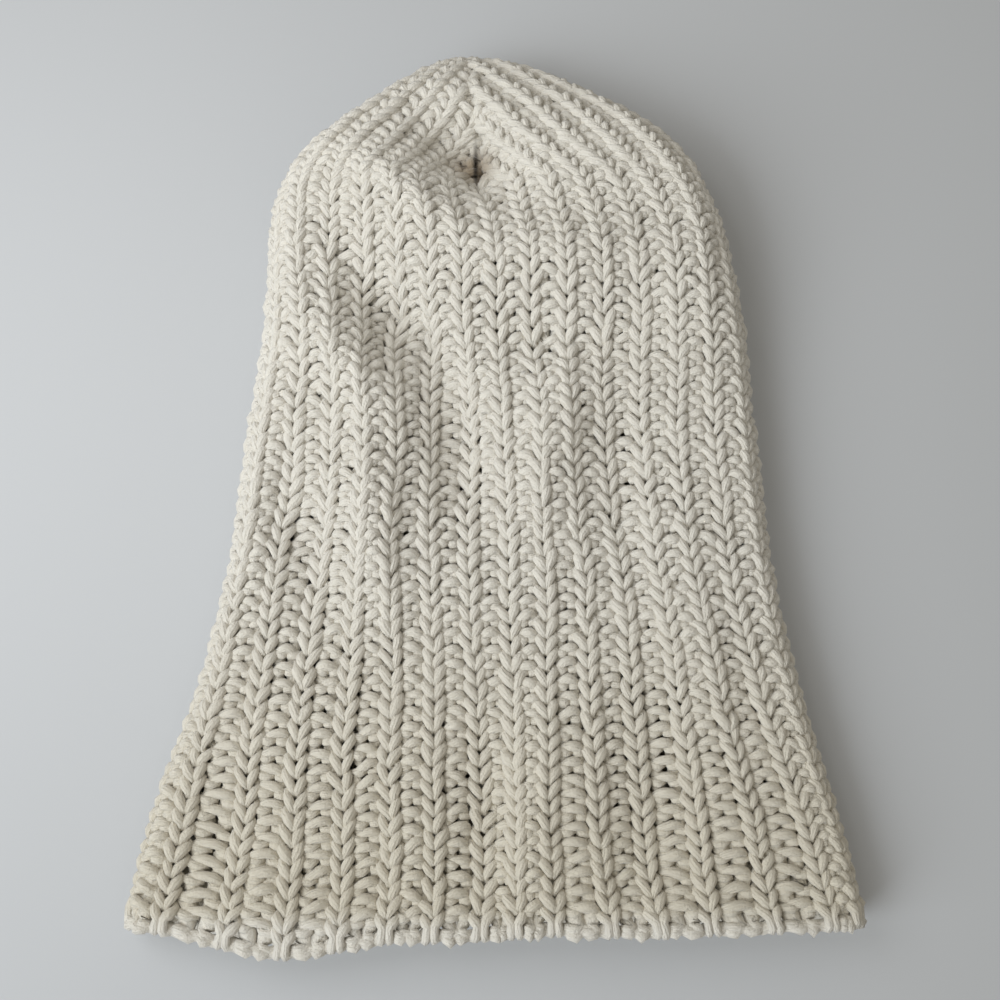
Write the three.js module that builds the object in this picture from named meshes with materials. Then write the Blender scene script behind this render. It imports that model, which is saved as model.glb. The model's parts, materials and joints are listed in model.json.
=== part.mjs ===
// A chunky ribbed beanie, knitted in the round and lying flat at its full length.
// Millimetres, +Z up. The open hem is towards -Y and the crown towards +Y. The underside
// rests on z = 0, and the origin is under the middle of the beanie's box.
import * as THREE from "three";

// Driving dimensions
const WALL = 6; // thickness of the ribbed fabric
const CAST_ON_ROWS = 1.5; // rows of the knobbly first edge
const TURN_UP_ROWS = 18; // rows from the hem that would be turned up as the cuff when worn
const BODY_ROWS = 50; // rows from the hem to the start of the crown
const CROWN_ROWS = 24; // rows of the crown, up to the gathered point
const ROW_GAP = 0.08; // rows left open between two pieces, 0.2 to 0.5 mm
const TOP_DOME = 0.16; // how much lower the top face is at its side folds than in the middle
const REST_PRESS = 0.5; // how deep the underside is pressed flat against the table
const BOX_MIDDLE = { x: -1.75, y: 7.4 }; // middle of the box in the tables' own frame

// The tube's guide lines. Each station is a row of knitting, counted from the hem. It says
// where that row crosses the middle of the top face (front), the two side folds and the
// middle of the underside (back).
const STATIONS = [
  // row, middleX, frontY, frontZ, leftX, rightX, sideY, sideZ, backY
  [0, 5, -153.5, 24, -132, 128.5, -150, 10, -152],
  [8, 4.6, -111, 24, -123, 119.5, -109, 10, -112],
  [16, 4, -67, 25, -109, 108, -66, 10.5, -76],
  [24, 2.8, -22, 26.5, -100, 100, -22, 11.5, -40],
  [32, 0.6, 24, 28, -95.2, 96, 22, 12.5, -4],
  [40, -1.2, 67, 32, -89.5, 92.6, 65, 14, 32],
  [46, -3.6, 99, 37, -88.6, 87.4, 96, 16, 59],
  [50, -8, 117, 40, -86.5, 82, 113, 17, 76],
  [54, -9, 128, 41, -80, 75, 127, 17, 91],
  [58, -10.5, 141, 40, -68.5, 63, 140, 16, 106],
  [62, -12, 158, 34, -54, 45, 152, 14, 120],
  [66, -12.5, 173, 23, -39, 26, 161, 11, 133],
  [70, -12, 173, 9, -24, 6, 164, 5, 147],
  [74, -11, 160, 0, -11, -11, 160, 0, 160],
].map(([row, middleX, frontY, frontZ, leftX, rightX, sideY, sideZ, backY]) => ({
  row, middleX, frontY, frontZ, leftX, rightX, sideY, sideZ, backY,
}));

// The hem hangs lower left of its middle, and the pull fades out up the body.
const HEM_SAG = { x: -75, halfWidth: 32, fadeRows: 12, drop: 8 };

// Long soft hollows of the top face, and ridges, whose depth is negative. The long axis is
// turned from +X by an angle in degrees.
const DENTS = [
  // name, x, y, turn, halfLength, halfWidth, depth
  ["dimple at the crown", -13, 126, -38, 22, 11, 14],
  ["crease above the dimple", -10, 138, 90, 9, 5, 2.5],
  ["roll left of the dimple", -35, 108, -38, 26, 10, -8],
  ["fold under the left shoulder", -41, 68, -50, 30, 10, 11],
  ["fold down the left of the middle", -17, 18, -80, 28, 9.5, 8],
  ["roll outside the left fold", -57, 48, -53, 26, 10, -7],
  ["roll down the left side", -46, -6, -85, 36, 10, -7.5],
  ["hollow along the left side", -72, -15, -78, 30, 9, 5],
  ["puff under the dimple", 22, 87, 0, 40, 13, -8],
  ["crease under the puff", 14, 56, 0, 36, 9, 5],
  ["roll down the middle", 17, 12, 80, 34, 10, -4.5],
  ["hollow right of the middle", 43, 0, 92, 40, 10, 3.5],
  ["right shoulder", 70, 80, 90, 26, 12, -3],
  ["roll on the lower right", 70, -60, 97, 42, 12, -3],
  ["roll at the middle of the hem", 10, -112, 88, 38, 7.5, -4],
  ["shoulder of that roll", 25, -108, 90, 32, 12, -2.5],
  ["hollow at the right of the hem", 52, -110, 90, 26, 12, 3],
  ["hollow left of the hem roll", -5, -114, 90, 30, 7, 3],
  ["low roll beside it", -30, -112, 90, 26, 11, -2],
  ["hollow along the hem, left", -45, -134, -2, 40, 9, 2.5],
  ["hollow along the hem, right", 62, -132, 2, 36, 9, 2],
  ["hollow at the left end of the hem", -98, -118, 68, 24, 12, 2.5],
].map(([name, x, y, turn, halfLength, halfWidth, depth]) => ({
  name, x, y, turn, halfLength, halfWidth, depth,
}));

// How finely each piece is faceted
const FLAT_STEPS = 6; // from the middle of a face to where the side fold begins
const FOLD_STEPS = 5; // round a quarter of a side fold
const BODY_ROW_STEP = 3.2;
const CROWN_ROW_STEP = 1.6;

const FABRIC = { color: 0xe4dfd2, roughness: 0.95, metalness: 0 };

// A smooth curve through one column of the stations, as a cubic with averaged slopes.
function guide(key, row) {
  const last = STATIONS.length - 2;
  let i = 0;
  while (i < last && row > STATIONS[i + 1].row) i += 1;
  const [a, b] = [STATIONS[i], STATIONS[i + 1]];
  const span = b.row - a.row;
  const slope = (k) => {
    const before = STATIONS[Math.max(k - 1, 0)];
    const after = STATIONS[Math.min(k + 1, STATIONS.length - 1)];
    return (after[key] - before[key]) / (after.row - before.row);
  };
  const t = (row - a.row) / span;
  const [t2, t3] = [t * t, t * t * t];
  return (
    (2 * t3 - 3 * t2 + 1) * a[key] +
    (t3 - 2 * t2 + t) * span * slope(i) +
    (3 * t2 - 2 * t3) * b[key] +
    (t3 - t2) * span * slope(i + 1)
  );
}

function hemSag(x, row) {
  const across = (x - HEM_SAG.x) / HEM_SAG.halfWidth;
  const along = row / HEM_SAG.fadeRows;
  return HEM_SAG.drop * Math.exp(-across * across - along * along);
}

function dentDepth(x, y) {
  return DENTS.reduce((depth, dent) => {
    const turn = THREE.MathUtils.degToRad(dent.turn);
    const [right, up] = [x - dent.x, y - dent.y];
    const along = (right * Math.cos(turn) + up * Math.sin(turn)) / dent.halfLength;
    const across = (up * Math.cos(turn) - right * Math.sin(turn)) / dent.halfWidth;
    return depth + dent.depth * Math.exp(-across * across - along * along);
  }, 0);
}

// A point of the outer skin. quarter runs from 0 in the middle of a face to 1 on the side
// fold, side is -1 or 1, and face is 1 on top and -1 underneath.
function skin(row, quarter, side, face) {
  const middleX = guide("middleX", row);
  const sideX = guide(side < 0 ? "leftX" : "rightX", row);
  const sideY = guide("sideY", row);
  const sideZ = guide("sideZ", row);
  const faceY = guide(face > 0 ? "frontY" : "backY", row);
  const faceZ = face > 0 ? guide("frontZ", row) : -REST_PRESS;

  // Across the section: flat to the start of the fold, then a quarter circle
  const halfWidth = Math.max(Math.abs(sideX - middleX), 1e-6);
  const foldStart = Math.max(0, 1 - sideZ / halfWidth);
  const turn = Math.max(0, 2 * quarter - 1) * (Math.PI / 2);
  const across = foldStart * Math.min(1, 2 * quarter) + (1 - foldStart) * Math.sin(turn);
  const dome = face > 0 ? 1 - TOP_DOME * across * across : 1;
  const up = Math.cos(turn) * dome;

  const x = middleX + (sideX - middleX) * across;
  const y = sideY + (faceY - sideY) * (1 - across * across) - hemSag(x, row);
  let z = sideZ + (faceZ - sideZ) * up;
  if (face > 0) z -= dentDepth(x, y) * Math.cos(turn);
  return new THREE.Vector3(x, y, Math.max(z, 0));
}

// One ring of section places, once round the tube: over the top from the left fold to the
// right one, and back underneath.
const RING = [];
for (const [face, side, out] of [[1, -1, false], [1, 1, true], [-1, 1, false], [-1, -1, true]]) {
  const steps = FLAT_STEPS + FOLD_STEPS;
  for (let i = 0; i < steps; i += 1) {
    const k = out ? i : steps - i;
    const quarter = k <= FLAT_STEPS ? (0.5 * k) / FLAT_STEPS : 0.5 + (0.5 * (k - FLAT_STEPS)) / FOLD_STEPS;
    RING.push({ quarter, side, face });
  }
}

// The inward direction at a place of the skin, from its neighbours on the same skin.
function inward(row, index) {
  const place = (k) => RING[(k + RING.length) % RING.length];
  const at = (r, k) => skin(r, place(k).quarter, place(k).side, place(k).face);
  const step = 0.25;
  const before = Math.max(row - step, 0);
  const after = Math.min(row + step, BODY_ROWS + CROWN_ROWS - step);
  const along = at(after, index).sub(at(before, index));
  const round = at(Math.min(row, after), index + 1).sub(at(Math.min(row, after), index - 1));
  return round.cross(along).normalize().negate();
}

// A ring of points at one row, on the outer skin or a wall's thickness inside it.
function ring(row, inset) {
  return RING.map((place, index) => {
    const point = skin(row, place.quarter, place.side, place.face);
    return inset ? point.addScaledVector(inward(row, index), inset) : point;
  });
}

// The wall of the tube between two rows, as one closed solid. A crown ends in one point.
function tubeWall(name, firstRow, lastRow, rowStep) {
  const pointed = lastRow >= BODY_ROWS + CROWN_ROWS;
  const steps = Math.max(1, Math.round((lastRow - firstRow) / rowStep));
  const rows = Array.from({ length: steps + 1 }, (_, i) => firstRow + ((lastRow - firstRow) * i) / steps);
  if (pointed) rows.pop();
  const positions = [];
  const face = (a, b, c) => positions.push(...a.toArray(), ...b.toArray(), ...c.toArray());
  const band = (lower, upper, turned) => {
    for (let i = 0; i < RING.length; i += 1) {
      const j = (i + 1) % RING.length;
      const corners = [lower[i], lower[j], upper[j], lower[i], upper[j], upper[i]];
      if (turned) corners.reverse();
      face(...corners.slice(0, 3));
      face(...corners.slice(3));
    }
  };
  const outer = rows.map((row) => ring(row, 0));
  const inner = rows.map((row) => ring(row, WALL));
  for (let i = 0; i + 1 < rows.length; i += 1) {
    band(outer[i], outer[i + 1], false);
    band(inner[i], inner[i + 1], true);
  }
  band(inner[0], outer[0], false);
  const [outerEnd, innerEnd] = [outer.at(-1), inner.at(-1)];
  if (pointed) {
    const point = skin(lastRow, 0, 1, -1);
    const innerPoint = point.clone().setZ(WALL);
    for (let i = 0; i < RING.length; i += 1) {
      const j = (i + 1) % RING.length;
      face(outerEnd[i], outerEnd[j], point);
      face(innerEnd[j], innerEnd[i], innerPoint);
    }
  } else {
    band(innerEnd, outerEnd, true);
  }
  const geometry = new THREE.BufferGeometry();
  geometry.setAttribute("position", new THREE.Float32BufferAttribute(positions, 3));
  geometry.computeVertexNormals();
  const mesh = new THREE.Mesh(geometry, new THREE.MeshStandardMaterial(FABRIC));
  mesh.name = name;
  return mesh;
}

const group = new THREE.Group();
group.position.set(-BOX_MIDDLE.x, -BOX_MIDDLE.y, 0);
group.add(
  tubeWall("cast_on_edge", 0, CAST_ON_ROWS - ROW_GAP, BODY_ROW_STEP),
  tubeWall("turn_up_band", CAST_ON_ROWS, TURN_UP_ROWS - ROW_GAP, BODY_ROW_STEP),
  tubeWall("ribbed_body", TURN_UP_ROWS, BODY_ROWS - ROW_GAP, BODY_ROW_STEP),
  tubeWall("crown", BODY_ROWS, BODY_ROWS + CROWN_ROWS, CROWN_ROW_STEP),
);

export default group;
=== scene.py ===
# %% [markdown]
# # A chunky ribbed beanie, knitted stitch by stitch
# The beanie is one tube of knit one, purl one rib. It lies flat on a pale table, with its
# open edge towards the camera and its soft crown away from it. A shell with a printed
# pattern would look flat at such thick yarn, so every loop here is real geometry.

# %% Load the frame
import json
import math

import bpy
import numpy as np
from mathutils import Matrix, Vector

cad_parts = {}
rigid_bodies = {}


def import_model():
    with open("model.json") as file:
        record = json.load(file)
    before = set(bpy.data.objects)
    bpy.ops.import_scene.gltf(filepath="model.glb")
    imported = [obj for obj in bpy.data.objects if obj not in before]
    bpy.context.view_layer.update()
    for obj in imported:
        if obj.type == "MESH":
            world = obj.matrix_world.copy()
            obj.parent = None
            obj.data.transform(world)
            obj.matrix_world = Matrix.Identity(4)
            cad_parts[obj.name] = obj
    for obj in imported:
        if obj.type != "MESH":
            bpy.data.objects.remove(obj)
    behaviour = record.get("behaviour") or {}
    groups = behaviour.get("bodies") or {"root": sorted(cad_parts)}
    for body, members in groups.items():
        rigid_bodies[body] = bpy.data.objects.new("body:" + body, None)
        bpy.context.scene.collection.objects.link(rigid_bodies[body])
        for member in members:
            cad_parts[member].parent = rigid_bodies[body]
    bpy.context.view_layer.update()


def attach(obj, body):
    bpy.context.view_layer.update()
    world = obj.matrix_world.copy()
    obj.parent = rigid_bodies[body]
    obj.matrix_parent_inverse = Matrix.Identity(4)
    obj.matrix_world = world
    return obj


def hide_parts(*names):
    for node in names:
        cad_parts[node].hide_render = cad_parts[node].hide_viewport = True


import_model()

MM = 0.001

# %% [markdown]
# ## The camera
# The photograph looks almost straight down, from a little towards the hem. The angle and
# the distance were worked out from how much perspective widens the near edge.

# %% Place the camera
CAMERA_TILT = math.radians(10)
CAMERA_DISTANCE = 407 * MM
CAMERA_LENS = 39.6
CAMERA_NEAR = 10 * MM
LOOK_AT = Vector((1.75, -7.4, 12)) * MM

camera = bpy.data.objects.new("camera", bpy.data.cameras.new("camera"))
camera.data.lens = CAMERA_LENS
camera.data.clip_start = CAMERA_NEAR
camera.rotation_euler = (CAMERA_TILT, 0, 0)
away = Vector((0, -math.sin(CAMERA_TILT), math.cos(CAMERA_TILT)))
camera.location = LOOK_AT + away * CAMERA_DISTANCE
bpy.context.scene.collection.objects.link(camera)
bpy.context.scene.camera = camera
print("camera at", [round(value, 4) for value in camera.location])

# %% [markdown]
# ## Table and light
# A cool window, far off to the left and a little in front, lights every loop from one side,
# and its soft shadows fall to the right. A smaller light hangs nearer, above the left of
# the crown, and fades towards the hem. A dim, warm world stands for the rest of the room.
# Area lights are used, because their shadows have soft edges as a window's have.

# %% Make the table and the lights
TABLE_SIZE = 3.0
TABLE_COLOUR = (0.567, 0.578, 0.594, 1)
TABLE_DROP = 0.2 * MM
TABLE_ROUGHNESS = 0.6
LIGHTS = {
    "window": {
        "place": (-1.07, -0.62, 0.90), "aim": (0, 0, 0), "size": 1.0, "power": 13.9,
        "colour": (0.90, 0.955, 1.0),
    },
    "ceiling": {
        "place": (-0.24, 0.08, 0.36), "aim": (-0.07, 0.15, 0), "size": 0.3, "power": 0.64,
        "colour": (0.96, 0.98, 1.0),
    },
}
ROOM_COLOUR = (1.0, 0.965, 0.88, 1)
ROOM_STRENGTH = 0.36

scene = bpy.context.scene
scene.view_settings.view_transform = "Standard"
scene.world = bpy.data.worlds.new("room")
scene.world.use_nodes = True
room = scene.world.node_tree.nodes["Background"]
room.inputs["Color"].default_value = ROOM_COLOUR
room.inputs["Strength"].default_value = ROOM_STRENGTH

for name, setting in LIGHTS.items():
    light = bpy.data.lights.new(name, "AREA")
    light.size = setting["size"]
    light.energy = setting["power"]
    light.color = setting["colour"]
    holder = bpy.data.objects.new(name, light)
    holder.location = setting["place"]
    from_aim = Vector(setting["place"]) - Vector(setting["aim"])
    holder.rotation_euler = from_aim.to_track_quat("Z", "Y").to_euler()
    scene.collection.objects.link(holder)

bpy.ops.mesh.primitive_plane_add(size=TABLE_SIZE, location=(0, 0, -TABLE_DROP))
table = bpy.context.object
table.name = "table"
table_paint = bpy.data.materials.new("table_paint")
table_paint.use_nodes = True
table_shader = table_paint.node_tree.nodes["Principled BSDF"]
table_shader.inputs["Base Color"].default_value = TABLE_COLOUR
table_shader.inputs["Roughness"].default_value = TABLE_ROUGHNESS
table.data.materials.append(table_paint)
print("table and", len(bpy.data.lights), "lights made")

# %% [markdown]
# ## The shape that the tube lies in
# The fabric follows the same guide lines as the CAD shell. Each station is a row of
# knitting, counted from the hem: where it crosses the middle of the top face (front), the
# two side folds and the middle of the underside (back), in millimetres. A few stations and
# a smooth curve through them are easier to adjust than a sculpted mesh.

# %% Guide lines
BOX_MIDDLE = np.array([-1.75, 7.4, 0])
TOP_DOME = 0.16
REST_PRESS = 0.5
BODY_ROWS = 50
ALL_ROWS = 74
STATION_FIELDS = (
    "row", "middle_x", "front_y", "front_z", "left_x", "right_x", "side_y", "side_z", "back_y",
)
STATION_ROWS = np.array([
    (0, 5, -153.5, 24, -132, 128.5, -150, 10, -152),
    (8, 4.6, -111, 24, -123, 119.5, -109, 10, -112),
    (16, 4, -67, 25, -109, 108, -66, 10.5, -76),
    (24, 2.8, -22, 26.5, -100, 100, -22, 11.5, -40),
    (32, 0.6, 24, 28, -95.2, 96, 22, 12.5, -4),
    (40, -1.2, 67, 32, -89.5, 92.6, 65, 14, 32),
    (46, -3.6, 99, 37, -88.6, 87.4, 96, 16, 59),
    (50, -8, 117, 40, -86.5, 82, 113, 17, 76),
    (54, -9, 128, 41, -80, 75, 127, 17, 91),
    (58, -10.5, 141, 40, -68.5, 63, 140, 16, 106),
    (62, -12, 158, 34, -54, 45, 152, 14, 120),
    (66, -12.5, 173, 23, -39, 26, 161, 11, 133),
    (70, -12, 173, 9, -24, 6, 164, 5, 147),
    (74, -11, 160, 0, -11, -11, 160, 0, 160),
])
STATION = dict(zip(STATION_FIELDS, STATION_ROWS.T))


def guide(key, row):
    """A smooth curve through one column of the stations, as a cubic with averaged slopes."""
    rows, values = STATION["row"], STATION[key]
    i = np.clip(np.searchsorted(rows, row, side="left") - 1, 0, len(rows) - 2)
    padded_rows = np.r_[rows[0], rows, rows[-1]]
    padded_values = np.r_[values[0], values, values[-1]]
    slope = (padded_values[2:] - padded_values[:-2]) / (padded_rows[2:] - padded_rows[:-2])
    span = rows[i + 1] - rows[i]
    t = (row - rows[i]) / span
    start = (2 * t**3 - 3 * t**2 + 1) * values[i] + (t**3 - 2 * t**2 + t) * span * slope[i]
    end = (3 * t**2 - 2 * t**3) * values[i + 1] + (t**3 - t**2) * span * slope[i + 1]
    return start + end


print("stations:", len(STATION_ROWS), "from the hem to row", ALL_ROWS)

# %% [markdown]
# ## Dents of the soft top face
# Thick fabric that lies empty sinks into hollows and pushes up rolls between them. Each one
# here is a long soft hollow, or a roll where its depth is negative, with a bell-shaped
# section. Its long axis is turned from +X by an angle in degrees. The hem also hangs lower
# on its left side. Each row of the table can be moved or deepened without the others.

# %% Dents, and the hem that hangs low on one side
DENT_FIELDS = ("name", "x", "y", "turn", "half_length", "half_width", "depth")
DENTS = [
    ("dimple at the crown", -13, 126, -38, 22, 11, 14),
    ("crease above the dimple", -10, 138, 90, 9, 5, 2.5),
    ("roll left of the dimple", -35, 108, -38, 26, 10, -8),
    ("fold under the left shoulder", -41, 68, -50, 30, 10, 11),
    ("fold down the left of the middle", -17, 18, -80, 28, 9.5, 8),
    ("roll outside the left fold", -57, 48, -53, 26, 10, -7),
    ("roll down the left side", -46, -6, -85, 36, 10, -7.5),
    ("hollow along the left side", -72, -15, -78, 30, 9, 5),
    ("puff under the dimple", 22, 87, 0, 40, 13, -8),
    ("crease under the puff", 14, 56, 0, 36, 9, 5),
    ("roll down the middle", 17, 12, 80, 34, 10, -4.5),
    ("hollow right of the middle", 43, 0, 92, 40, 10, 3.5),
    ("right shoulder", 70, 80, 90, 26, 12, -3),
    ("roll on the lower right", 70, -60, 97, 42, 12, -3),
    ("roll at the middle of the hem", 10, -112, 88, 38, 7.5, -4),
    ("shoulder of that roll", 25, -108, 90, 32, 12, -2.5),
    ("hollow at the right of the hem", 52, -110, 90, 26, 12, 3),
    ("hollow left of the hem roll", -5, -114, 90, 30, 7, 3),
    ("low roll beside it", -30, -112, 90, 26, 11, -2),
    ("hollow along the hem, left", -45, -134, -2, 40, 9, 2.5),
    ("hollow along the hem, right", 62, -132, 2, 36, 9, 2),
    ("hollow at the left end of the hem", -98, -118, 68, 24, 12, 2.5),
]
HEM_SAG = {"x": -75, "half_width": 32, "fade_rows": 12, "drop": 8}


def dent_depth(x, y):
    total = np.zeros(np.broadcast(x, y).shape)
    for row in DENTS:
        dent = dict(zip(DENT_FIELDS, row))
        turn = math.radians(dent["turn"])
        right, up = x - dent["x"], y - dent["y"]
        along = (right * math.cos(turn) + up * math.sin(turn)) / dent["half_length"]
        across = (up * math.cos(turn) - right * math.sin(turn)) / dent["half_width"]
        total += dent["depth"] * np.exp(-(across**2) - along**2)
    return total


def hem_sag(x, row):
    across = (x - HEM_SAG["x"]) / HEM_SAG["half_width"]
    return HEM_SAG["drop"] * np.exp(-(across**2) - (row / HEM_SAG["fade_rows"]) ** 2)


print("dents and rolls:", len(DENTS))

# %% [markdown]
# ## The skin of the tube
# At each row the tube is a flat loop: a slightly domed top face, a round fold at each side
# and a flat underside that the table presses. One formula gives any point of it.

# %% Outer skin
LEAST_WIDTH = 1e-6


def skin(row, quarter, side, face):
    """Points of the outer skin: quarter is 0 in the middle of a face and 1 on the fold."""
    middle_x = guide("middle_x", row)
    side_x = guide("left_x" if side < 0 else "right_x", row)
    side_y, side_z = guide("side_y", row), guide("side_z", row)
    face_y = guide("front_y" if face > 0 else "back_y", row)
    face_z = guide("front_z", row) if face > 0 else -REST_PRESS
    half_width = np.maximum(abs(side_x - middle_x), LEAST_WIDTH)
    fold_start = np.maximum(0, 1 - side_z / half_width)
    turn = np.maximum(0, 2 * quarter - 1) * math.pi / 2
    across = fold_start * np.minimum(1, 2 * quarter) + (1 - fold_start) * np.sin(turn)
    up = np.cos(turn) * (1 - TOP_DOME * across**2 if face > 0 else 1)
    x = middle_x + (side_x - middle_x) * across
    y = side_y + (face_y - side_y) * (1 - across**2) - hem_sag(x, row)
    z = side_z + (face_z - side_z) * up
    if face > 0:
        z = z - dent_depth(x, y) * np.cos(turn)
    return np.stack([x, y, np.maximum(z, 0)], axis=-1) - BOX_MIDDLE


print("middle of the front at the hem in mm:", skin(0.0, 0.0, 1, 1).round(1))

# %% [markdown]
# ## Fabric coordinates
# A knitter counts rows and stitches, so the fabric gets those coordinates. Round the tube,
# `lap` runs from 0 on the middle of the front to 1 on the right fold and 2 on the middle
# of the back, and to -1 and -2 on the left. Equal steps of lap are equal lengths of cloth
# on each face. A grid of points and normals is worked out once and read in between.

# %% Measure the skin in rows and laps
GRID_STEP = 0.25
ROWS_BELOW_HEM = 2
GRID_ROWS = np.arange(-ROWS_BELOW_HEM, ALL_ROWS + GRID_STEP / 2, GRID_STEP)
BACK_LAP = 2
LAP_STEPS = 64
FINE_STEPS = 48
LEAST_LENGTH = 1e-9
JUST_INSIDE = 0.001


def face_points(side, face):
    """One quarter of the tube, at equal steps of length from the middle to the fold."""
    quarters = np.linspace(0, 1, FINE_STEPS)
    fine = skin(GRID_ROWS[:, None], quarters[None, :], side, face)
    steps = np.linalg.norm(np.diff(fine, axis=1), axis=2)
    length = np.c_[np.zeros(len(fine)), steps.cumsum(axis=1)]
    even = [
        [np.interp(np.linspace(0, run[-1], LAP_STEPS + 1), run, line[:, k]) for k in range(3)]
        for run, line in zip(length, fine)
    ]
    return np.array(even).transpose(0, 2, 1), length[:, -1]


front_right, arc_front_right = face_points(1, 1)
back_right, arc_back_right = face_points(1, -1)
front_left, arc_front_left = face_points(-1, 1)
back_left, arc_back_left = face_points(-1, -1)
tube = np.concatenate(
    [back_left[:, :-1], front_left[:, :0:-1], front_right[:, :-1], back_right[:, ::-1]], axis=1
)
along_rows = np.gradient(tube, axis=0)
closed = np.concatenate([tube[:, -2:-1], tube, tube[:, 1:2]], axis=1)
round_tube = closed[:, 2:] - closed[:, :-2]
outward = np.cross(round_tube, along_rows)
outward /= np.maximum(np.linalg.norm(outward, axis=2, keepdims=True), LEAST_LENGTH)
at_hem = int(ROWS_BELOW_HEM / GRID_STEP)
print("skin grid:", tube.shape[:2], "arc at the hem in mm:", round(arc_front_right[at_hem], 1))


def read_grid(grid, row, lap):
    """The grid's value at any row and lap, mixed from the four nearest places."""
    last_i, last_j = grid.shape[0] - 1, grid.shape[1] - 1
    i = np.clip((row + ROWS_BELOW_HEM) / GRID_STEP, 0, last_i - JUST_INSIDE)
    j = np.clip((lap + BACK_LAP) * LAP_STEPS, 0, last_j - JUST_INSIDE)
    i0, j0 = i.astype(int), j.astype(int)
    fi, fj = (i - i0)[..., None], (j - j0)[..., None]
    low = grid[i0, j0] * (1 - fj) + grid[i0, j0 + 1] * fj
    high = grid[i0 + 1, j0] * (1 - fj) + grid[i0 + 1, j0 + 1] * fj
    return low * (1 - fi) + high * fi


# %% [markdown]
# ## Where each column of stitches lies
# There are 64 columns: knit and purl by turns, with a knit column on the middle of the
# front, on both folds and on the middle of the back. A knit column keeps its width and
# the purl columns beside it open and close, which is why a rib stretches. In the crown,
# each side loses stitches at the front line and at the back line, like the toe of a sock.
# The flared hem is not pulled evenly, so HEM_PITCH gives each rib its own share there, from
# the middle of the front to the fold, and the shares even out higher up.

# %% Columns
FOLD_COLUMN = 16
BACK_COLUMN = 32
KNIT_WIDTH = 8.7
KNIT_SHARE = 0.72
PURL_LEAST = 6.2
PURL_OVERLAP = 1.8
QUICK_DECREASE_ROW = 66
ROWS_PER_DECREASE = 2
LEAST_STITCHES = 0.5
HEM_FADE_ROWS = 15
HEM_PITCH = {
    -1: np.array([30, 44, 42, 46, 50, 53, 58, 62]),
    1: np.array([38, 57, 50, 57, 61, 57, 33, 33]),
}


def stitches_gone(row):
    """How many stitches each side has lost at the front line by this row."""
    slow = np.clip(row - BODY_ROWS, 0, QUICK_DECREASE_ROW - BODY_ROWS) / ROWS_PER_DECREASE
    return slow + np.maximum(row - QUICK_DECREASE_ROW, 0)


def column_lap(column, row, side):
    """The lap of a column's middle. Columns are numbered from the front, 0 to 32."""
    gone = np.minimum(stitches_gone(row), FOLD_COLUMN - LEAST_STITCHES)
    front = (column - gone) / (FOLD_COLUMN - gone)
    back = 1 + (column - FOLD_COLUMN) / (FOLD_COLUMN - gone)
    ribs = len(HEM_PITCH[side])
    shares = np.r_[0, HEM_PITCH[side].cumsum() / HEM_PITCH[side].sum()]
    even = np.clip(front, 0, 1)
    uneven = np.interp(even * ribs, np.arange(ribs + 1), shares) - even
    fade = np.exp(-((np.maximum(row, 0) / HEM_FADE_ROWS) ** 2))
    return np.where(column <= FOLD_COLUMN, front + uneven * fade, back)


def column_place(column, row, side):
    """The middle and the width of a column, in laps."""
    before = column_lap(column - 1, row, side)
    here = column_lap(column, row, side)
    after = column_lap(column + 1, row, side)
    arcs = (arc_front_right, arc_back_right) if side > 0 else (arc_front_left, arc_back_left)
    arc = np.interp(row, GRID_ROWS, arcs[0] if column <= FOLD_COLUMN else arcs[1])
    if column % 2 == 0:
        width = np.minimum(KNIT_WIDTH / arc, KNIT_SHARE * (after - before))
        return here, width
    pitch_low = here - column_lap(column - 2, row, side)
    pitch_high = column_lap(column + 2, row, side) - here
    low_edge = before + np.minimum(KNIT_WIDTH / arc, KNIT_SHARE * pitch_low) / 2
    high_edge = after - np.minimum(KNIT_WIDTH / arc, KNIT_SHARE * pitch_high) / 2
    width = high_edge - low_edge
    tucked = np.minimum(PURL_LEAST / arc, PURL_OVERLAP * width)
    return (low_edge + high_edge) / 2, np.maximum(width, tucked)


print("stitches gone by row 60:", stitches_gone(60))

# %% [markdown]
# ## One knit stitch and one purl stitch
# Both are the same loop. A knit loop comes through to the front, so its two legs show as
# a V and its head hides behind. A purl loop goes through to the back, so its head and its
# two feet show as little bars. The knit loop is even, so its table is the left half, from
# the side of the column to the head, and the purl loop is lopsided, so its table is whole.
# Each row is a point: across in widths of the column, along in rows, out and radius in
# millimetres. The yarn is thin where it is squeezed and fat where it is free.

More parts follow.
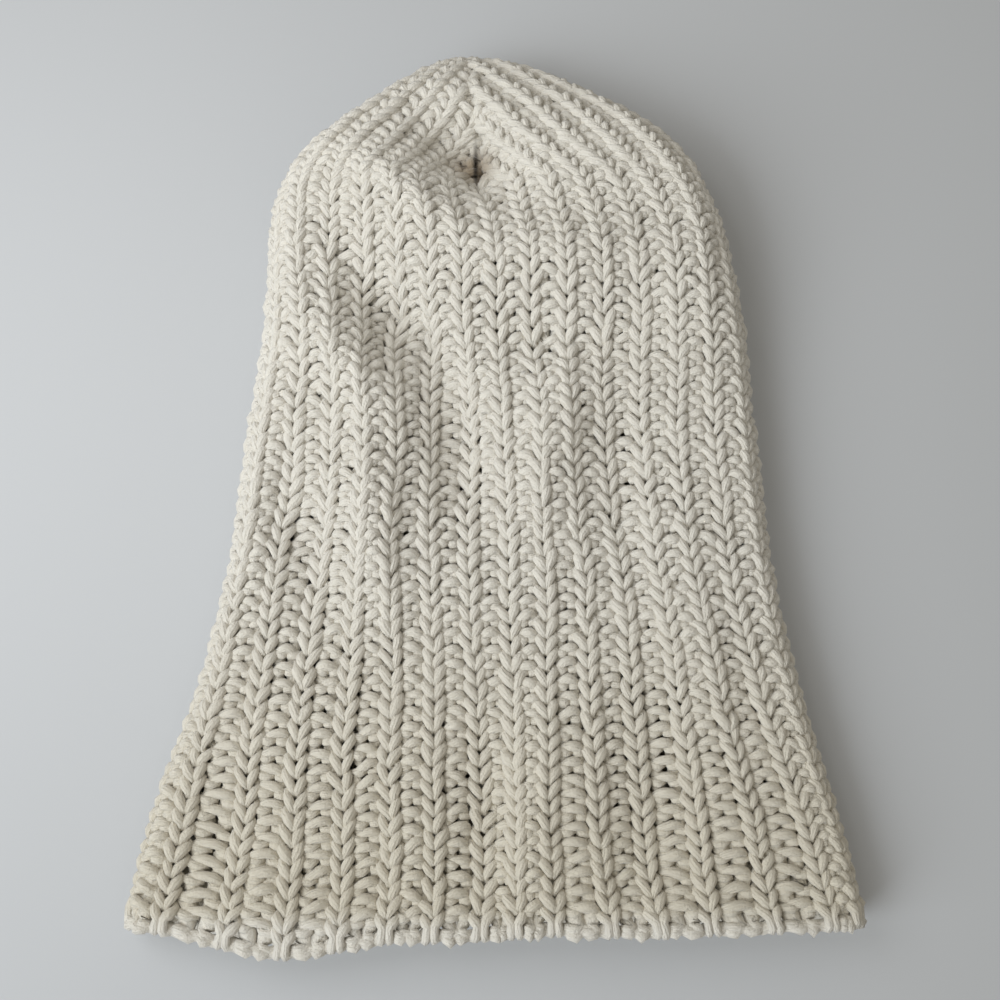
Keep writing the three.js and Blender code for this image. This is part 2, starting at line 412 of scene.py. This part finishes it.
# %% Stitch tables
KNIT_HALF = [
    (-0.50, -0.24, 0.00, 1.68),
    (-0.28, -0.28, -0.90, 1.65),
    (-0.10, -0.20, 0.10, 1.35),
    (-0.05, -0.02, 1.40, 1.45),
    (-0.11, 0.22, 2.05, 1.74),
    (-0.22, 0.50, 2.20, 1.90),
    (-0.34, 0.79, 1.55, 1.78),
    (-0.38, 1.00, 0.10, 1.50),
    (-0.21, 1.20, -0.90, 1.60),
]
KNIT_HEAD = (0.0, 1.26, -1.10, 1.65)
PURL_STITCH = [
    (-0.50, -0.18, 0.40, 1.55),
    (-0.40, -0.23, 1.35, 1.70),
    (-0.24, -0.27, 1.65, 1.75),
    (-0.08, -0.22, 0.60, 1.60),
    (-0.32, 0.26, -1.60, 2.35),
    (-0.39, 0.56, -1.50, 2.45),
    (-0.44, 0.92, -0.70, 1.95),
    (-0.29, 1.12, 1.10, 1.55),
    (-0.10, 1.20, 1.90, 1.78),
    (0.09, 1.23, 2.10, 1.92),
    (0.27, 1.21, 1.90, 1.80),
    (0.41, 1.12, 1.20, 1.55),
    (0.47, 0.88, -0.50, 1.85),
    (0.43, 0.55, -1.50, 2.45),
    (0.37, 0.26, -1.60, 2.35),
    (0.17, -0.10, -0.40, 1.60),
    (0.26, -0.26, 1.00, 1.70),
    (0.39, -0.25, 1.20, 1.72),
]
KNIT_FOOT_POINTS = 4
EDGE_KNIT_HALF = [
    (-0.50, -0.40, -0.60, 1.60),
    (-0.30, -0.52, -0.90, 1.60),
    (-0.16, -0.62, 0.30, 1.65),
    (-0.14, -0.40, 1.35, 1.75),
] + KNIT_HALF[KNIT_FOOT_POINTS:]
RELIEF = 0.86
FRONT_REACH = 3.8


def whole_stitch(half, head):
    """The loop from its left side up to the head and down again, as an array."""
    right = [(-across, along, out, radius) for across, along, out, radius in reversed(half[1:])]
    return np.array(half + [head] + right)


KNIT_LOOP = whole_stitch(KNIT_HALF, KNIT_HEAD)
EDGE_KNIT_LOOP = whole_stitch(EDGE_KNIT_HALF, KNIT_HEAD)
PURL_LOOP = np.array(PURL_STITCH)
print("points in a knit loop:", len(KNIT_LOOP), "and in a purl loop:", len(PURL_LOOP))

# %% [markdown]
# ## The hand of the knitter
# No two loops are quite alike. Each one leans a little, is a little longer or fatter than
# the next, and whole patches of the fabric are looser than others. Without this the
# knitting looks printed. Single loops get seeded random numbers, which are the same in
# every run. Slow changes from row to row and from rib to rib are sums of waves.

# %% Irregular loops
LOOP_MIDDLE = 0.5
LEAN_SPREAD = 0.10
TILT_SPREAD = 0.28
HEIGHT_SPREAD = 0.05
OUT_SPREAD = 0.32
FATNESS_SPREAD = 0.06
SHIFT_SPREAD = 0.035
SLUB_SPREAD = 0.035
JITTER = np.array([0.010, 0.014, 0.09])
ROLL = {"mean": math.radians(1), "swing": math.radians(7)}
WANDER = 0.55


def uneven_loop(loop, chance):
    lean, height, out, fatness, shift, tilt = chance.normal(size=6)
    bent = loop.copy()
    middle = np.sin(np.linspace(0, math.pi, len(loop)))
    bent[:, 0] += (lean * LEAN_SPREAD * (loop[:, 1] - LOOP_MIDDLE) + shift * SHIFT_SPREAD) * middle
    bent[:, 1] += (height * HEIGHT_SPREAD + tilt * TILT_SPREAD * loop[:, 0]) * middle
    bent[:, 2] += out * OUT_SPREAD * middle
    bent[:, :3] += chance.normal(size=(len(loop), 3)) * JITTER
    bent[:, 3] *= 1 + fatness * FATNESS_SPREAD + chance.normal(size=len(loop)) * SLUB_SPREAD
    return bent


# %% Slow waves over the fabric
WAVE_FIELDS = ("size", "by_row", "by_column", "start")
PATCH_WAVES = [(0.10, 0.31, 0.5, 0.0), (0.07, -0.17, 0.83, 1.0)]
ROLL_WAVES = [(0.6, 0.19, 0.55, 0.0), (0.4, 0.47, -0.35, 0.0)]
WANDER_WAVES = [(1.0, 0.23, 0.5, 0.0), (0.5, 0.61, 0.3, 0.0)]


def waves(table, row, column):
    total = 0
    for line in table:
        wave = dict(zip(WAVE_FIELDS, line))
        angle = wave["by_row"] * row + wave["by_column"] * column + wave["start"]
        total = total + wave["size"] * np.sin(angle)
    return total


def loose_patch(row, column):
    """How far a stitch is shifted along its rib, in rows."""
    return waves(PATCH_WAVES, row, column)


def rib_roll(row, column):
    """How far a rib has rolled over, which lifts the left leg of its stitches."""
    return ROLL["mean"] + ROLL["swing"] * waves(ROLL_WAVES, row, column)


def rib_wander(row, column):
    """How far a column strays sideways, in millimetres."""
    return WANDER * waves(WANDER_WAVES, row, column)


print("shift of the middle stitch in row 20, in rows:", round(loose_patch(20, 0), 3))

# %% [markdown]
# ## The slit in the dimple
# Where the decreases begin, the fabric is drawn together and a short slit opens on the
# middle line, with a shallow seam above it. It could be cut out of the mesh, but yarn is
# never cut there, so the loops near the line are pulled towards it and dive below the skin.

# %% Slit and seam
SLIT = {
    "row": 50.8, "rows_below": 1.5, "rows_above": 5.5, "depth": 7.5, "half_width": 1.8,
    "pinch": 1.1, "pinch_width": 2, "lips": 9,
}
SEAM = {"row": 60, "rows": 6, "strength": 0.22}


def slit_strength(row):
    """How open the slit is at a row, from 0 to 1. A shallow seam runs on above it."""
    reach = np.where(row < SLIT["row"], SLIT["rows_below"], SLIT["rows_above"])
    seam = SEAM["strength"] * np.exp(-(((row - SEAM["row"]) / SEAM["rows"]) ** 2))
    return np.maximum(np.exp(-(((row - SLIT["row"]) / reach) ** 2)), seam)


def pull_into_slit(row, lap, arc):
    """Draws yarn towards the middle line and says how far it dives there."""
    distance = lap * arc
    strength = slit_strength(row)
    on_the_lips = np.exp(-((distance / SLIT["lips"]) ** 2))
    pull = SLIT["pinch"] * strength * np.tanh(distance / SLIT["pinch_width"]) * on_the_lips
    near = np.exp(-((distance / SLIT["half_width"]) ** 2))
    return (distance - pull) / arc, SLIT["depth"] * strength * near


print("the slit is widest at row", SLIT["row"], "and", SLIT["depth"], "mm deep")

# %% [markdown]
# ## A course
# A course is one round of stitches, and here it is one closed line of yarn. Each loop's
# table is stretched to its column and laid on the skin. Purl columns lie behind the knit
# ribs, and more so in the crown. Where the flared hem pulls a purl column wide, its hidden
# legs are drawn together and fattened, so that no hole opens between them.

# %% Place one loop
WIDE_PURL = {"from": 7.5, "fattest": 1.4, "behind": -1}
PURL_RECESS = {"least": 0.3, "hem": 0.2, "rows": 26, "crown": 1.1, "crown_rows": (49, 56)}


def course_columns(row):
    """The columns still alive in a row, in order round the tube, as (side, column)."""
    gone = stitches_gone(row)
    shared = gone == int(gone)
    first = int(math.ceil(gone))
    last = BACK_COLUMN - first
    right = range(first, last + 1)
    left = range(first + 1, last) if shared else right
    return [(-1, column) for column in reversed(left)] + [(1, column) for column in right]


def lay(row, side, column, loop):
    """Puts one loop on the skin: points in millimetres and radii."""
    rows = row + loop[:, 1]
    gone = stitches_gone(row)
    on_the_line = column in (gone, BACK_COLUMN - gone)
    middle, width = column_place(column, np.full_like(rows, row) if on_the_line else rows, side)
    arcs = (arc_front_right, arc_back_right) if side > 0 else (arc_front_left, arc_back_left)
    arc = np.interp(rows, GRID_ROWS, arcs[0] if column <= FOLD_COLUMN else arcs[1])
    across, out, radius = loop[:, 0], loop[:, 2] * RELIEF, loop[:, 3]
    if column % 2 == 0:
        tilt = np.sin(rib_roll(rows, side * column))
        across, out = across + tilt * out / KNIT_WIDTH, out - tilt * across * KNIT_WIDTH
    else:
        spread = np.clip(width * arc / WIDE_PURL["from"], 1, WIDE_PURL["fattest"])
        spread = np.where(loop[:, 2] < WIDE_PURL["behind"], spread, 1)
        across, radius = across / spread, radius * spread
    stray = 0 if on_the_line else rib_wander(rows, side * column) / arc
    lap = middle + side * (across * width + stray)
    if not on_the_line:
        lap = np.clip(lap, 0, BACK_LAP)
    if column < FOLD_COLUMN:
        lap, dive = pull_into_slit(rows, lap, arc)
        out = out - dive
    if column % 2 == 1:
        hem_recess = PURL_RECESS["hem"] * np.exp(-((rows / PURL_RECESS["rows"]) ** 2))
        crown_recess = np.interp(rows, PURL_RECESS["crown_rows"], (0, PURL_RECESS["crown"]))
        out = out - PURL_RECESS["least"] - hem_recess - crown_recess
    lap = side * lap
    lap = np.where(lap > BACK_LAP, lap - 2 * BACK_LAP, lap)
    depth = (out - FRONT_REACH)[:, None]
    points = read_grid(tube, rows, lap) + depth * read_grid(outward, rows, lap)
    points[:, 2] = np.maximum(points[:, 2], radius)
    return np.c_[points, radius]


print("columns round the body:", len(course_columns(BODY_ROWS)))

# %% Lay a whole course
FIRST_ROW = 1
COURSE_SEED = 1000


def course(row):
    chance = np.random.default_rng(COURSE_SEED + row)
    knit_loop = EDGE_KNIT_LOOP if row == FIRST_ROW else KNIT_LOOP
    path = []
    for side, column in course_columns(row):
        loop = uneven_loop(knit_loop if column % 2 == 0 else PURL_LOOP, chance)
        loop[:, 1] += loose_patch(row, side * column)
        path.append(lay(row, side, column, loop))
    return np.concatenate(path)


first_course = course(FIRST_ROW)
print("points in the first course:", len(first_course))

# %% [markdown]
# ## Yarn from a line
# A curve object with a round bevel turns each course into a tube, with the radius of each
# point. The curve is then made a mesh, so that it can be exported, and keeps the UV map
# that the bevel gives: U runs along the yarn and V round it. U is counted in points, so
# that the twist of the yarn is the same in long and short courses. Six sides are enough,
# because smooth shading and the bump of the plies hide the corners.

# %% Spin the yarn
YARN_SIDES = 6
PLAIN_BEVEL_SIDES = 4
FACE_CORNERS = 4


def yarn_mesh(name, paths):
    curve = bpy.data.curves.new(name, "CURVE")
    curve.dimensions = "3D"
    curve.bevel_depth = MM
    curve.bevel_resolution = (YARN_SIDES - PLAIN_BEVEL_SIDES) // 2
    for path in paths:
        spline = curve.splines.new("POLY")
        spline.points.add(len(path) - 1)
        places = np.c_[path[:, :3] * MM, np.ones(len(path))]
        spline.points.foreach_set("co", places.ravel())
        spline.points.foreach_set("radius", path[:, 3])
        spline.use_cyclic_u = True
    line = bpy.data.objects.new(name, curve)
    scene.collection.objects.link(line)
    ready = line.evaluated_get(bpy.context.evaluated_depsgraph_get())
    mesh = bpy.data.meshes.new_from_object(ready)
    bpy.data.objects.remove(line)
    bpy.data.curves.remove(curve)
    stretch_uv(mesh, [len(path) for path in paths])
    piece = bpy.data.objects.new(name, mesh)
    mesh.name = name
    scene.collection.objects.link(piece)
    return piece


def stretch_uv(mesh, lengths):
    """Multiplies U by the number of points of each course."""
    layer = mesh.uv_layers[0]
    uv = np.zeros(len(mesh.loops) * 2, np.float32)
    layer.data.foreach_get("uv", uv)
    uv = uv.reshape(-1, 2)
    start = 0
    for length in lengths:
        end = start + length * YARN_SIDES * FACE_CORNERS
        uv[start:end, 0] *= length
        start = end
    layer.data.foreach_set("uv", uv.ravel())


print("sides of the yarn:", YARN_SIDES)

# %% [markdown]
# ## Tools for the material
# A material is a tree of nodes. Writing out every node and link takes many lines, so a few
# helpers make the kinds that this yarn needs.

# %% Node helpers


def add(tree, kind, **settings):
    """A new node. Each setting is one of its properties or the name of an input."""
    node = tree.nodes.new(kind)
    for key, value in settings.items():
        if hasattr(node, key):
            setattr(node, key, value)
        else:
            node.inputs[key.replace("_", " ")].default_value = value
    return node


def feed(tree, socket, value):
    """Gives a socket a number, a colour or another node's output."""
    if isinstance(value, bpy.types.NodeSocket):
        tree.links.new(value, socket)
    else:
        socket.default_value = value


def calculate(tree, operation, *values, clamp=False):
    node = add(tree, "ShaderNodeMath", operation=operation, use_clamp=clamp)
    for socket, value in zip(node.inputs, values):
        feed(tree, socket, value)
    return node.outputs[0]


def noise(tree, vector, scale, detail, roughness=0.5):
    """A cloudy pattern between 0 and 1."""
    node = add(tree, "ShaderNodeTexNoise", Scale=scale, Detail=detail, Roughness=roughness)
    feed(tree, node.inputs["Vector"], vector)
    return node.outputs["Fac"]


def ramp(tree, value, start, end, kind="LINEAR", result=(0.0, 1.0)):
    """Goes from the first result to the second while the value goes from start to end."""
    node = add(
        tree, "ShaderNodeMapRange", interpolation_type=kind,
        From_Min=start, From_Max=end, To_Min=result[0], To_Max=result[1],
    )
    feed(tree, node.inputs["Value"], value)
    return node.outputs[0]


def lay_colour(tree, share, below, above, blend_type="MIX"):
    """Lays one colour over another."""
    node = add(tree, "ShaderNodeMix", data_type="RGBA", blend_type=blend_type)
    factor, colour_a, colour_b = node.inputs[0], node.inputs[6], node.inputs[7]
    feed(tree, factor, share)
    feed(tree, colour_a, below)
    feed(tree, colour_b, above)
    return node.outputs[2]


print("node helpers ready")

# %% [markdown]
# ## Plies, fibres and fluff
# It is a soft plied yarn. Its plies and its fibres wind round it, and loose fluff lies over
# them. All three are far finer than a loop, so they are a bump, not geometry. The plies
# and the fibres read the UV map, whose U runs along the yarn and V round it: some of U is
# added to V, which turns a straight line into a twist. The fibres' noise is read on a
# ring, so that it has no seam. The fluff has no direction and reads the place.

# %% Twist
FULL_TURN = 2 * math.pi
PLIES = 9
TURNS_PER_POINT = 0.24
STRAY = {"scale": 500.0, "detail": 2.0, "strength": 5.0}
FIBRES = {"ring": 2.3, "stretch": 0.7, "scale": 1.0, "detail": 3.0, "roughness": 0.65}


def twisted_yarn(tree, place):
    """The plies as a wave between -1 and 1, and the fibres as a noise between 0 and 1."""
    split = add(tree, "ShaderNodeSeparateXYZ")
    feed(tree, split.inputs[0], add(tree, "ShaderNodeUVMap").outputs["UV"])
    along, around = split.outputs["X"], split.outputs["Y"]
    stray = noise(tree, place, STRAY["scale"], STRAY["detail"])
    turn = calculate(tree, "MULTIPLY", along, TURNS_PER_POINT * FULL_TURN)
    turn = calculate(tree, "MULTIPLY_ADD", stray, STRAY["strength"], turn)
    phase = calculate(tree, "MULTIPLY_ADD", around, PLIES * FULL_TURN, turn)
    plies = calculate(tree, "SINE", phase)

    turn_of_one_ply = calculate(tree, "DIVIDE", turn, PLIES)
    angle = calculate(tree, "MULTIPLY_ADD", around, FULL_TURN, turn_of_one_ply)
    ring = add(tree, "ShaderNodeCombineXYZ")
    for axis, function in (("X", "COSINE"), ("Y", "SINE")):
        step = calculate(tree, function, angle)
        feed(tree, ring.inputs[axis], calculate(tree, "MULTIPLY", step, FIBRES["ring"]))
    feed(tree, ring.inputs["Z"], calculate(tree, "MULTIPLY", along, FIBRES["stretch"]))
    fibres = noise(
        tree, ring.outputs[0], FIBRES["scale"], FIBRES["detail"], FIBRES["roughness"]
    )
    return plies, fibres


print("plies:", PLIES, "and a full turn every", round(PLIES / TURNS_PER_POINT, 1), "points")

# %% Bump
FLUFF = {"scale": 1300.0, "detail": 3.0, "roughness": 0.7}
BUMP_SHARES = {"plies": 0.5, "fibres": 4.2, "fluff": 4.5}
BUMP_STRENGTH = 0.75
BUMP_DISTANCE = 0.2 * MM


def yarn_bump(tree, place, plies, fibres):
    fluff = noise(tree, place, FLUFF["scale"], FLUFF["detail"], FLUFF["roughness"])
    height = calculate(tree, "MULTIPLY", fluff, BUMP_SHARES["fluff"])
    height = calculate(tree, "MULTIPLY_ADD", fibres, BUMP_SHARES["fibres"], height)
    height = calculate(tree, "MULTIPLY_ADD", plies, BUMP_SHARES["plies"], height)
    bump = add(tree, "ShaderNodeBump", Strength=BUMP_STRENGTH, Distance=BUMP_DISTANCE)
    feed(tree, bump.inputs["Height"], height)
    return bump.outputs["Normal"]


print("bump distance in mm:", round(BUMP_DISTANCE / MM, 2))

# %% [markdown]
# ## The yarn's colour
# The yarn is a warm off-white, and never quite one colour. Single fibres are lighter or
# darker, and it drifts slowly over the beanie. Painted shade makes it darker between its
# plies, and darker and warmer towards the hem, but not on the beads below it. A brown
# painted shade lies in the dimple, near-black along its slit.

# %% Clean yarn
YARN_LIGHT = (0.86, 0.82, 0.74, 1)
YARN_DARK = (0.68, 0.63, 0.54, 1)
# Painted shade: the yarn is darker in the grooves between its plies, where the ply wave is low.
PLY_SHADE = {"darkest_at": -5.0, "lightest_at": 3.4}
DRIFT = {"scale": 35.0, "detail": 2.0, "strength": 0.4}
GRAIN = 1.8


def clean_colour(tree, place, plies, fibres):
    # Painted shade between the plies, with slow drift and fibre grain added to it.
    shade = ramp(tree, plies, PLY_SHADE["darkest_at"], PLY_SHADE["lightest_at"])
    drift = noise(tree, place, DRIFT["scale"], DRIFT["detail"])
    shade = calculate(tree, "MULTIPLY_ADD", drift, DRIFT["strength"], shade)
    shade = calculate(tree, "SUBTRACT", shade, GRAIN / 2)
    shade = calculate(tree, "MULTIPLY_ADD", fibres, GRAIN, shade, clamp=True)
    return lay_colour(tree, shade, YARN_DARK, YARN_LIGHT)


print("yarn colours from", YARN_DARK[:3], "to", YARN_LIGHT[:3])

# %% Painted shade towards the hem and in the dimple
# Painted shade: the yarn is made darker and warmer towards the hem, where less of the cool window
# light reaches, but not on the cast-on beads below it.
HEM_PAINTED_SHADE = {
    "colour": (0.89, 0.865, 0.80, 1), "from_y": -20, "to_y": -145, "edge_y": (-158, -149),
}
# Painted shade in the dimple: a soft brown spot over its hollow and a near-black one along its
# slit.
DIMPLE_PAINTED_SHADES = [
    {
        "colour": (0.36, 0.27, 0.17, 1), "middle": (-8.5, 117, 25), "reach": (14, 10, 24),
        "strength": 0.85,
    },
    {
        "colour": (0.04, 0.03, 0.02, 1), "middle": (-7.4, 118, 27), "reach": (1.7, 13, 24),
        "strength": 1.0,
    },
]


# Lays the painted hem shade over the colour so far.
def painted_hem_shade(tree, place, clean):
    spot = add(tree, "ShaderNodeSeparateXYZ")
    feed(tree, spot.inputs[0], place)
    y = spot.outputs["Y"]
    start, end = HEM_PAINTED_SHADE["from_y"] * MM, HEM_PAINTED_SHADE["to_y"] * MM
    towards_hem = ramp(tree, y, start, end, "SMOOTHSTEP")
    low_edge, high_edge = [value * MM for value in HEM_PAINTED_SHADE["edge_y"]]
    above_edge = ramp(tree, y, low_edge, high_edge, "SMOOTHSTEP")
    share = calculate(tree, "MULTIPLY", towards_hem, above_edge)
    return lay_colour(tree, share, clean, HEM_PAINTED_SHADE["colour"], "MULTIPLY")


def painted_dimple_shade(tree, place, clean, shade_spot):
    """An oval spot of painted shade with a soft rim, laid over the colour so far."""
    from_middle = add(tree, "ShaderNodeVectorMath", operation="SUBTRACT")
    feed(tree, from_middle.inputs[0], place)
    feed(tree, from_middle.inputs[1], [value * MM for value in shade_spot["middle"]])
    in_reaches = add(tree, "ShaderNodeVectorMath", operation="MULTIPLY")
    feed(tree, in_reaches.inputs[0], from_middle.outputs[0])
    feed(tree, in_reaches.inputs[1], [1 / (value * MM) for value in shade_spot["reach"]])
    distance = add(tree, "ShaderNodeVectorMath", operation="LENGTH")
    feed(tree, distance.inputs[0], in_reaches.outputs[0])
    shade_share = ramp(
        tree, distance.outputs["Value"], 0.0, 1.0, "SMOOTHERSTEP", (shade_spot["strength"], 0.0)
    )
    return lay_colour(tree, shade_share, clean, shade_spot["colour"])


print("dimple_painted_shades:", len(DIMPLE_PAINTED_SHADES))

# %% The whole yarn material
SURFACE = {
    "Roughness": 0.9, "Sheen Weight": 0.45, "Sheen Roughness": 0.5, "Specular IOR Level": 0.12,
}


def yarn_material():
    """Loose fibres catch the light at the yarn's edge, which the sheen stands for."""
    material = bpy.data.materials.new("cream_yarn")
    material.use_nodes = True
    tree = material.node_tree
    shader = tree.nodes["Principled BSDF"]
    for socket, value in SURFACE.items():
        shader.inputs[socket].default_value = value
    place = add(tree, "ShaderNodeTexCoord").outputs["Object"]
    plies, fibres = twisted_yarn(tree, place)
    feed(tree, shader.inputs["Normal"], yarn_bump(tree, place, plies, fibres))
    colour = clean_colour(tree, place, plies, fibres)
    # Painted shade, darker and warmer towards the hem.
    colour = painted_hem_shade(tree, place, colour)
    # Painted shade in the dimple, near-black along its slit.
    for shade_spot in DIMPLE_PAINTED_SHADES:
        colour = painted_dimple_shade(tree, place, colour, shade_spot)
    feed(tree, shader.inputs["Base Color"], colour)
    return material


yarn = yarn_material()
print("yarn material nodes:", len(yarn.node_tree.nodes))

# %% [markdown]
# ## The cast-on edge
# Before the first course there is a strand of cast-on loops. It is a knobbly cord: in
# front of each purl column it hangs down as a fat bead, and behind each knit column it
# crosses out of sight. A second strand closes the loops above it.

# %% Loops of the cast-on edge
BEAD_LOOPS = {
    "knit": np.array([
        (-0.50, -0.36, -1.0, 1.6),
        (-0.25, -0.34, -1.6, 1.6),
        (0.0, -0.32, -1.7, 1.6),
        (0.25, -0.34, -1.6, 1.6),
    ]),
    "purl": np.array([
        (-0.50, -0.40, -0.6, 1.6),
        (-0.38, -0.54, 0.9, 1.9),
        (-0.22, -0.62, 1.4, 2.15),
        (-0.07, -0.52, 0.3, 1.6),
        (0.06, -0.50, 0.4, 1.65),
        (0.22, -0.64, 1.6, 2.2),
        (0.38, -0.55, 0.9, 1.9),
    ]),
}
CLOSING_LOOPS = {
    "knit": np.array([
        (-0.50, -0.50, -1.3, 2.0),
        (-0.25, -0.36, -1.6, 2.3),
        (0.0, -0.32, -1.6, 2.3),
        (0.25, -0.36, -1.6, 2.3),
    ]),
    "purl": np.array([
        (-0.50, -0.44, -0.9, 1.9),
        (-0.25, -0.36, 0.2, 2.0),
        (0.0, -0.34, 0.3, 2.0),
        (0.25, -0.36, 0.2, 2.0),
    ]),
}
print("points in a bead:", len(BEAD_LOOPS["purl"]))

# %% Cast on
BEAD_SEED = 1
CLOSING_SEED = 2


def cast_on_strand(loops, seed):
    chance = np.random.default_rng(seed)
    path = []
    for side, column in course_columns(FIRST_ROW):
        loop = uneven_loop(loops["knit" if column % 2 == 0 else "purl"], chance)
        loop[:, 1] += loose_patch(FIRST_ROW, side * column)
        path.append(lay(FIRST_ROW, side, column, loop))
    return np.concatenate(path)


beads = cast_on_strand(BEAD_LOOPS, BEAD_SEED)
closing = cast_on_strand(CLOSING_LOOPS, CLOSING_SEED)
print("points in the two cast-on strands:", len(beads), "and", len(closing))

# %% [markdown]
# ## Knit the beanie
# A knitter works upwards from the cast-on edge. The courses are grouped into bands, each
# from its first row up to the next band's, and each band stands for the CAD node that it
# belongs to. One mesh for all of it would be too heavy to handle.

# %% Knit every band
BANDS = [
    ("turn_up_lower", "turn_up_band", FIRST_ROW, 9),
    ("turn_up_upper", "turn_up_band", 9, 18),
    ("body_lower", "ribbed_body", 18, 29),
    ("body_middle", "ribbed_body", 29, 40),
    ("body_upper", "ribbed_body", 40, 50),
    ("crown_shoulder", "crown", 50, 57),
    ("crown_gather", "crown", 57, 73),
]


def finish_piece(piece, node):
    piece.data.materials.clear()
    piece.data.materials.append(yarn)
    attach(piece, "root")
    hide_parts(node)
    print(piece.name, "triangles:", 2 * len(piece.data.polygons))


finish_piece(yarn_mesh("cast_on_edge_yarn", [beads, closing]), "cast_on_edge")
for name, node, first, after in BANDS:
    finish_piece(yarn_mesh(name, [course(row) for row in range(first, after)]), node)
